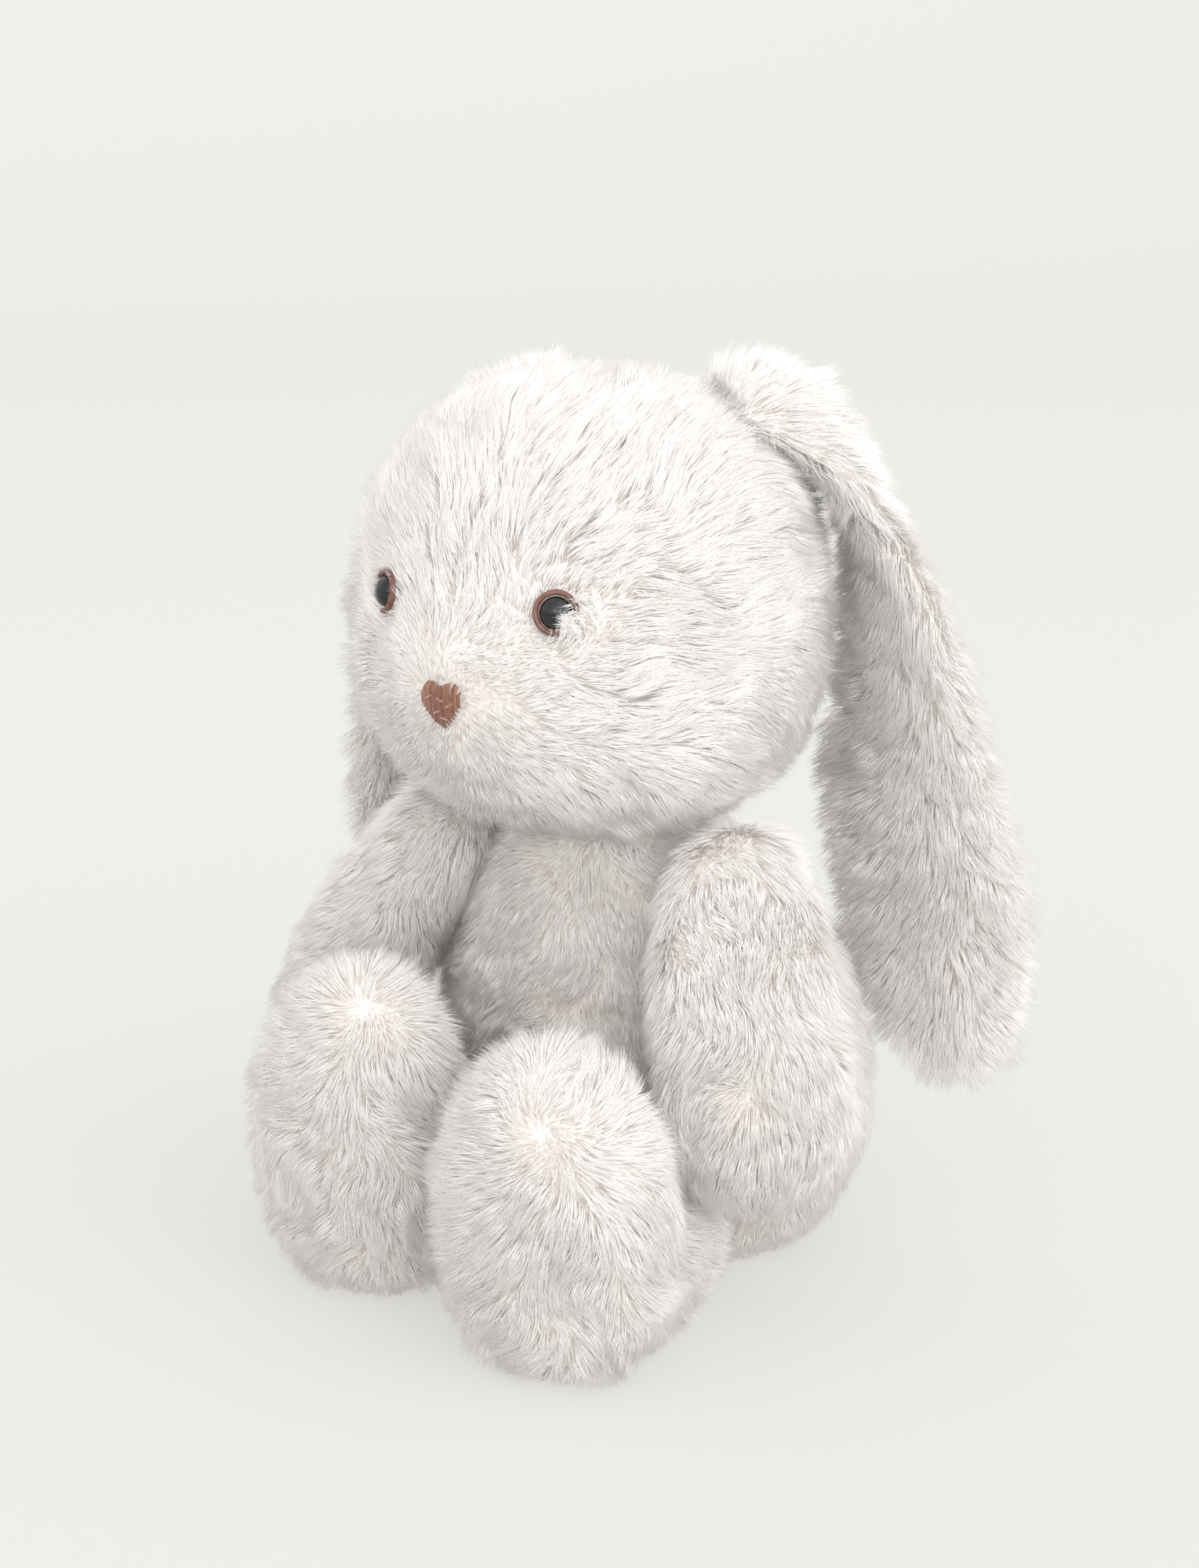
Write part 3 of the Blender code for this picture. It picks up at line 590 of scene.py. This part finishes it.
def hinge_of(body):
    return np.array(next(joint for joint in frame["joints"] if joint["child"] == body)["pos_m"])


# fibres per square millimetre, and fibre lengths in millimetres
DENSITY = {"head": 2.3, "torso": 1.45, "arm": 2.1, "leg": 1.95, "ear": 2.0, "tail": 1.9}
LENGTH = {"nose": 6.2, "belly": 10.5, "back": 12.0, "arm": 12.5, "leg": 13.0, "ear": 12.5, "tail": 12.5}
HEAD_GAIN = 6.8                     # how much longer than beside the nose the fibres of the head are

UNDERCOAT = undercoat_material()
PILE = fibre_material()

HEAD_PANELS = ("head_face_left", "head_face_right", "head_back_left", "head_back_right")
NOSE_AT = centre_of("nose")
HEAD_AT = centre_of(*HEAD_PANELS)
EYES_AT = {side: centre_of(f"eye_{side}_pupil") for side, _ in SIDES}
DOWN = np.array(((0.0, 0.0, -1.0),))


def coat_head():
    skin = skin_round("skin_head", (*HEAD_PANELS, "head_stuffing"), "head", 2.6)

    def keep(p):
        chance = np.ones(len(p))
        for at in EYES_AT.values():
            chance *= smoothstep(distance_to(p, at), 5.6 * MM, 6.8 * MM)
        from_nose = np.linalg.norm(away_from(p, NOSE_AT) * (1.1, 1, 1), axis=1)
        return chance * smoothstep(from_nose, 5.4 * MM, 6.6 * MM)

    coat = Coat(skin, DENSITY["head"], 11, keep)
    p, normal = coat.root, coat.normal
    back = smoothstep(p[:, 1], NOSE_AT[1] + 0.03, NOSE_AT[1] + 0.11)[:, None]
    flow = unit(on_surface(away_from(p, NOSE_AT + (0, 0.012, 0)), normal))
    flow = flow + on_surface(np.tile(DOWN, (len(p), 1)), normal) * (0.15 + 1.1 * back)
    high = smoothstep(p[:, 2], NOSE_AT[2] + 0.012, NOSE_AT[2] + 0.03)
    flow[:, 0] += 0.30 * np.sign(p[:, 0]) * np.exp(-np.abs(p[:, 0]) / (6 * MM)) * high
    length = LENGTH["nose"] + HEAD_GAIN * smoothstep(distance_to(p, NOSE_AT), 0.008, 0.05)
    upright = np.zeros(len(p))
    for side, sign in SIDES:
        out = away_from(p, EYES_AT[side])
        near = np.linalg.norm(out, axis=1)
        outer = smoothstep(out[:, 0] * sign * 1.1 - out[:, 2] * 0.6, -0.002, 0.004)
        closing = outer * (1 - smoothstep(near, 0.009, 0.015))
        length = length * (0.60 + 0.40 * smoothstep(near, 0.008, 0.022)) * (1 + 0.45 * closing)
        flow = flow * (1 - closing[:, None]) - unit(out) * 1.6 * closing[:, None]
        upright = np.maximum(upright, 0.35 * closing)
    # Beside the nose the pile is painted darker, as painted shade round the muzzle.
    beside_nose = 1 - smoothstep(distance_to(p, NOSE_AT), 0.008, 0.022)
    coat.lay(flow, length, rise=(60, 17), stand=upright, painted_shade=-0.12 * beside_nose)
    coat.grow("pile_head", "head")


def coat_torso():
    nodes = ("torso_front", "torso_back_left", "torso_back_right", "torso_base", "torso_stuffing",
             "pellet_bag")
    skin = skin_round("skin_torso", nodes, "torso", 3.0)
    coat = Coat(skin, DENSITY["torso"], 12, lambda p: smoothstep(p[:, 2], 0.001, 0.004))
    p, normal = coat.root, coat.normal
    flow = np.tile(DOWN, (len(p), 1)) + 0.35 * normal * (1, 1, 0)
    flow[:, 0] += 0.25 * np.sign(p[:, 0])
    neck = smoothstep(p[:, 2], 0.116, 0.132)[:, None]
    flow = flow * (1 - neck) + unit(away_from(p, (0, -0.018, 0.132)) * (1, 1, 0)) * neck
    front = p[:, 1] < 0
    crease = np.zeros(len(p))
    for height, slope, x, half in BELLY_CREASES:
        run = np.exp(-(((p[:, 0] - x) / half) ** 2)) * front
        over = p[:, 2] - height - slope * (p[:, 0] - x)
        crease = np.maximum(crease, run * np.exp(-((over / 0.0035) ** 2)))
    # The whole torso is painted a little darker, the belly more and each crease much more, as painted shade;
    # along a crease the pile is shorter too.
    length = np.where(front, LENGTH["belly"], LENGTH["back"]) * (1 - 0.5 * crease)
    coat.lay(flow, length, painted_shade=np.where(front, -0.08, -0.02) - 0.55 * crease, parting=0.4 * front)
    coat.above().grow("pile_torso", "torso")


# height, slope, middle and half length of each fold across the belly, drawn as shorter pile and painted shade
BELLY_CREASES = ((0.0875, 0.08, 0.010, 0.020), (0.119, -0.10, 0.027, 0.012))
# where the pile parts round a point, in millimetres
WHORL_ARM = {"left": (77.4, -62.1, 77.1), "right": (-97.0, -56.0, 72.0)}
WHORL_FOOT = {"left": (49.0, -113.0, 76.0), "right": (-32.3, -94.0, 88.0)}


def coat_arm(side, seed):
    nodes = (f"arm_{side}_outer", f"arm_{side}_inner", f"arm_{side}_stuffing")
    skin = skin_round(f"skin_arm_{side}", nodes, f"arm_{side}", 2.2)
    coat = Coat(skin, DENSITY["arm"], seed)
    p = coat.root
    along = unit(centre_of(f"arm_{side}_stuffing") - hinge_of(f"arm_{side}"))[None]
    out = away_from(p, np.array(WHORL_ARM[side]) * MM)
    far = np.linalg.norm(out, axis=1)
    near = np.exp(-((far / 0.014) ** 2))[:, None]
    turning = unit(out) + 0.8 * np.cross(np.repeat(along, len(p), 0), unit(out))
    flow = along * (1 - 0.35 * near) + 0.62 * unit(turning) * near
    # At the whorl's middle the pile is shorter and painted darker, as painted shade where it parts.
    middle = np.exp(-((far / 0.008) ** 2))
    coat.lay(flow, LENGTH["arm"] - 2.0 * middle, painted_shade=-0.2 * middle)
    coat.grow(f"pile_arm_{side}", f"arm_{side}")


def coat_leg(side, seed):
    nodes = (f"leg_{side}_outer", f"leg_{side}_inner", f"foot_{side}_sole", f"leg_{side}_stuffing")
    skin = skin_round(f"skin_leg_{side}", nodes, f"leg_{side}", 2.4)
    coat = Coat(skin, DENSITY["leg"], seed, lambda p: smoothstep(p[:, 2], 0.001, 0.004))
    p = coat.root
    whorl = np.array(WHORL_FOOT[side]) * MM
    tousled = np.stack([waves(p, coat.rng, 0.020) for _ in range(3)], 1) * 4 * MM
    out = away_from(p, whorl) + tousled
    heel = smoothstep(p[:, 1], whorl[1] + 0.028, whorl[1] + 0.045)[:, None]
    centre = np.exp(-((np.linalg.norm(out, axis=1) / 0.009) ** 2))[:, None]
    flow = (unit(out) + 1.4 * DOWN * centre) * (1 - heel) + np.array(((0.0, 0.8, -0.5),)) * heel
    below = smoothstep(-p[:, 2], -whorl[2] + 0.004, -whorl[2] + 0.02)
    flow[:, 0] += 0.5 * np.sign(out[:, 0]) * np.exp(-np.abs(out[:, 0]) / 0.008) * below
    # Low on the leg near the floor, at the whorl's middle and along the sole's partings, the pile is painted
    # darker, as painted shade.
    low = 1 - smoothstep(p[:, 2], 0.012, 0.05)
    middle = np.exp(-((np.linalg.norm(out, axis=1) / 0.008) ** 2))
    sole = smoothstep(-p[:, 2], -whorl[2] - 0.004, -whorl[2] + 0.016)
    coat.lay(flow, LENGTH["leg"] - 2.3 * heel[:, 0] - 2.0 * middle, painted_shade=-0.10 * low - 0.30 * middle,
             swirl=27.0, parting=0.15 + 0.45 * sole)
    coat.above().grow(f"pile_leg_{side}", f"leg_{side}")


def coat_ear(side, sign, seed):
    nodes = (f"ear_{side}_outer", f"ear_{side}_lining")
    skin = skin_round(f"skin_ear_{side}", nodes, f"ear_{side}", 1.5, rounds=4)
    coat = Coat(skin, DENSITY["ear"], seed)
    p = coat.root
    root = hinge_of(f"ear_{side}")
    co, _ = arrays_of(skin.data)
    heights = np.linspace(co[:, 2].min() + 0.004, co[:, 2].max() - 0.02, 14)
    line = np.array([co[np.abs(co[:, 2] - h) < 0.006].mean(0) for h in heights])
    middle = np.stack([np.interp(p[:, 2], heights, line[:, k]) for k in range(2)], 1)
    hang = smoothstep(distance_to(p, root), 0.02, 0.055)[:, None]
    flow = unit(away_from(p, root - (0.012 * sign, 0.01, 0))) * (1 - hang) + DOWN * hang
    aside = np.concatenate([p[:, :2] - middle, np.zeros((len(p), 1))], 1)
    flow = flow + 1.15 * np.clip(aside / 0.018, -1, 1) * hang
    coat.lay(flow, np.full(len(p), LENGTH["ear"]), rise=(64, 28), swirl=14.0)
    coat.grow(f"pile_ear_{side}", f"ear_{side}")


def coat_tail():
    skin = skin_round("skin_tail", ("tail_cover", "tail_stuffing"), "tail", 1.8)
    coat = Coat(skin, DENSITY["tail"], 31)
    flow = away_from(coat.root, centre_of("tail_cover") - (0, 0.012, -0.004)) + (0, 0, -0.004)
    coat.lay(flow, np.full(coat.count, LENGTH["tail"]), rise=(70, 30)).grow("pile_tail", "tail")


# ---- eyes, nose and what the cover hides -----------------------------------------------------------------


def frame_of(node):
    """The middle of a flat round piece, its outward axis, two ways across it, and its reach along them."""
    co, _ = arrays_of(frame["nodes"][node].data)
    middle = centre_of(node)
    axis = np.linalg.svd(co - co.mean(0), full_matrices=False)[2][2]
    axis = axis if axis @ (middle - HEAD_AT) > 0 else -axis
    up = unit(np.array((0.0, 0.0, 1.0)) - axis * axis[2])
    across = np.cross(up, axis)
    reach = [(co - middle) @ way for way in (axis, across, up)]
    return middle, axis, across, up, [(r.min(), r.max()) for r in reach]


def mesh_piece(name, points, faces, material):
    mesh = bpy.data.meshes.new(name)
    mesh.from_pydata([tuple(p) for p in points], [], faces)
    mesh.polygons.foreach_set("use_smooth", np.ones(len(mesh.polygons), bool))
    mesh.materials.append(material)
    made = bpy.data.objects.new(name, mesh)
    bpy.context.scene.collection.objects.link(made)
    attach(made, "head")
    return made


def turned(name, profile, middle, axis, across, up, material):
    """A closed piece turned about an axis. The profile runs round its section, as (radius, height)."""
    points, faces, around = [], [], TURNED_SIDES
    for radius, height in profile:
        for j in range(around):
            turn = 2 * math.pi * j / around
            points.append(middle + axis * height + (across * math.cos(turn) + up * math.sin(turn)) * radius)
    rings = len(profile)
    for i in range(rings):
        for j in range(around):
            k, after = (j + 1) % around, (i + 1) % rings
            faces.append((i * around + j, i * around + k, after * around + k, after * around + j))
    return mesh_piece(name, points, faces, material)


TURNED_SIDES = 56
EYE_CORE, EYE_LIP = 0.02 * MM, 0.3 * MM     # radius of the tiny hole on the axis; height of the dome's rim
RING_OUT, RING_TUBE = 1.0 * MM, 0.82 * MM   # from the dome's rim to the ring's middle; half its thickness
RING_RAISED, RING_TALL = 0.7 * MM, 1.25     # height of its middle, and how much taller than wide it is


def dress_eye(side, ring_material, dome_material):
    """A smooth ring and a smooth dome where the CAD eye lies, a hair's breadth apart."""
    middle, axis, across, up, reach = frame_of(f"eye_{side}_pupil")
    low, high = reach[0]
    dome_r = reach[1][1]
    dome = [(EYE_CORE, low), (dome_r, low), (dome_r, low + EYE_LIP)]
    dome += [(dome_r * math.cos(t), low + EYE_LIP + (high - low - EYE_LIP) * math.sin(t))
             for t in np.linspace(0.15, math.pi / 2 - 0.03, 12)]
    dome += [(EYE_CORE, high)]
    pupil = turned(f"pupil_{side}", dome, middle, axis, across, up, dome_material)
    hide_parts(f"eye_{side}_pupil")
    ring_r = dome_r + RING_OUT
    ring = [(ring_r + RING_TUBE * math.cos(t), low + RING_RAISED + RING_TUBE * RING_TALL * math.sin(t))
            for t in np.linspace(0, 2 * math.pi, 20, endpoint=False)]
    iris = turned(f"ring_{side}", ring, middle, axis, across, up, ring_material)
    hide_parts(f"eye_{side}_iris")


NOSE_STITCHES = 15
NOSE_TACKS = ((-0.55, 0.35, 0.5), (0.1, 0.30, -0.35), (0.55, 0.1, 0.6), (-0.15, -0.25, 0.4),
              (0.2, -0.5, -0.3))    # across, up, slant
STITCH_R, TACK_R, TACK_RAISED = 0.52 * MM, 0.30 * MM, 0.38 * MM
TACK_TONE, TACK_REACH = 0.85, 0.22


def dress_nose(material):
    """Satin stitches laid side by side over a padded heart, with a few tacking stitches across them."""
    middle, axis, across, up, reach = frame_of("nose")
    low, high = reach[0]
    half_w, half_h = 1.06 * reach[1][1], 1.04 * reach[2][1]
    rng = np.random.default_rng(7)

    def top(u):
        notch = 0.15 * math.exp(-((u / 0.22) ** 2))
        return half_h * (0.95 - notch - 0.50 * max(0.0, abs(u) - 0.60) ** 2 / 0.16)

    def bottom(u):
        return half_h * (-1.05 + 1.08 * abs(u) ** 1.35)

    def lift(u, v):
        return low + (high - low) * 0.9 * math.sqrt(max(0.0, 1 - 0.85 * (u * u + 0.7 * v * v)))

    points, faces, tones = [], [], []

    def strand(ends, radius, raised, tone):
        (u0, v0), (u1, v1) = ends
        first, steps, sides = len(points), 9, 7
        way = unit(np.array((u1 - u0) * half_w * across + (v1 - v0) * half_h * up))
        side = np.cross(axis, way)
        for i in range(steps):
            t = i / (steps - 1)
            u, v = u0 + (u1 - u0) * t, v0 + (v1 - v0) * t
            sink = -0.9 * MM if i in (0, steps - 1) else 0.0
            core = middle + across * u * half_w + up * v * half_h + axis * (lift(u, v) + raised + sink)
            thick = radius * (0.75 if i in (0, steps - 1) else 1.0)
            for j in range(sides):
                turn = 2 * math.pi * j / sides
                points.append(core + (side * math.cos(turn) + axis * math.sin(turn)) * thick)
                tones.append(tone)
        for i in range(steps - 1):
            for j in range(sides):
                a, k = first + i * sides, (j + 1) % sides
                faces.append((a + j, a + k, a + sides + k, a + sides + j))
        faces.append(tuple(first + j for j in reversed(range(sides))))
        faces.append(tuple(first + (steps - 1) * sides + j for j in range(sides)))

    for i in range(NOSE_STITCHES):
        u = -0.94 + 1.88 * i / (NOSE_STITCHES - 1)
        a, b = rng.normal(0, 0.03, 2)
        ends = ((u + a, bottom(u) / half_h), (u * 0.98 + b, top(u) / half_h))
        strand(ends, STITCH_R, rng.normal(0, 0.08) * MM, float(np.clip(rng.normal(0.45, 0.2), 0, 1)))
    for u, v, slant in NOSE_TACKS:
        ends = ((u - TACK_REACH, v - TACK_REACH * slant), (u + TACK_REACH, v + TACK_REACH * slant))
        strand(ends, TACK_R, TACK_RAISED, TACK_TONE)
    nose = mesh_piece("nose_stitches", points, faces, material)
    nose.data.attributes.new("tone", "FLOAT", "POINT").data.foreach_set("value", tones)
    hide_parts("nose")


def dress_hidden():
    """Finishes for the CAD pieces that stay as they are."""
    finishes = {
        "washer": hidden_material("washer_plastic", (0.62, 0.62, 0.60), (0.74, 0.74, 0.72), 900.0, 0.4),
        "neck_stuffing": hidden_material("fibre_fill", (0.80, 0.79, 0.77), (0.93, 0.92, 0.91), 260.0, 0.95),
        "neck_thread": hidden_material("sewing_thread", (0.74, 0.70, 0.66), (0.88, 0.85, 0.82), 2400.0, 0.7),
    }
    for node, made in frame["nodes"].items():
        for part, material in finishes.items():
            if part in node:
                for place in made.material_slots:
                    place.material = material


make_camera()
make_stage()
make_world()
area_light("key", azimuth=22, height=0.70, distance=1.5, size=0.34, watts=1.1, colour=(1.0, 0.985, 0.98))

coat_head()
coat_torso()
coat_tail()
for index, (side, sign) in enumerate(SIDES):
    coat_arm(side, 41 + index)
    coat_leg(side, 51 + index)
    coat_ear(side, sign, 61 + index)
ring_finish, dome_finish = eye_ring_material(), eye_black_material()
for side, _ in SIDES:
    dress_eye(side, ring_finish, dome_finish)
dress_nose(nose_thread_material())
dress_hidden()

bpy.context.scene.view_settings.view_transform = "Standard"
bpy.context.scene.view_settings.gamma = VIEW_GAMMA
bpy.context.scene.cycles.diffuse_bounces = LIGHT_BOUNCES
